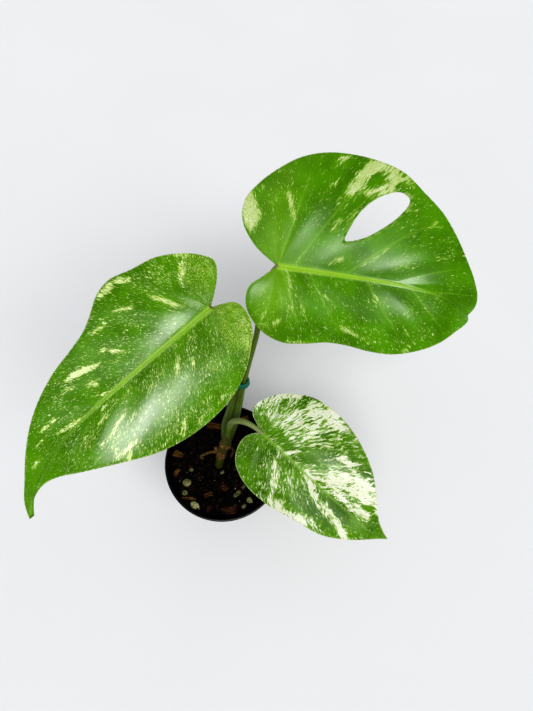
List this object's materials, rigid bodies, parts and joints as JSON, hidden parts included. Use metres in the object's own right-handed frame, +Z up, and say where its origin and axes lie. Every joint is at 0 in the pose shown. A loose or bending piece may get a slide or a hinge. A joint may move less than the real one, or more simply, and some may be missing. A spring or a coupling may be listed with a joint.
{
  "type": "potted monstera",
  "caption": "Young variegated monstera with heart-shaped leaves on long stalks, tied with a soft band, in a thin black nursery pot filled with bark mix.",
  "frame": {"origin": "centre of the pot's foot, on the surface it stands on", "axes": "+Z up along the pot's axis, +X to the right and +Y to the back of the view in the picture"},
  "size_m": [0.2893, 0.2201, 0.2816],
  "materials": {
    "pot": "black injection-moulded plastic, slightly glossy",
    "soil": "moist dark bark and fibre mix",
    "perlite": "porous off-white lumps",
    "bark": "split red-brown bark, matt",
    "stem": "olive stem with a brown node ring, satin",
    "stalk": "olive-green stalk, satin",
    "leaf": "waxy green, speckled and splashed with cream",
    "tie": "soft teal-green strip"
  },
  "bodies": {
    "root": {"pot": "pot", "soil": "soil", "perlite_1": "perlite", "perlite_2": "perlite", "perlite_3": "perlite", "perlite_4": "perlite", "perlite_5": "perlite", "perlite_6": "perlite", "perlite_7": "perlite", "perlite_8": "perlite", "perlite_9": "perlite", "bark_1": "bark", "bark_2": "bark", "bark_3": "bark", "bark_4": "bark", "bark_5": "bark", "bark_6": "bark", "bark_7": "bark", "bark_8": "bark", "bark_9": "bark", "stem": "stem", "stalk_upper": "stalk", "stalk_left": "stalk", "stalk_lower": "stalk", "leaf_upper": "leaf", "leaf_left": "leaf", "leaf_lower": "leaf", "tie": "tie"}
  },
  "joints": []
}
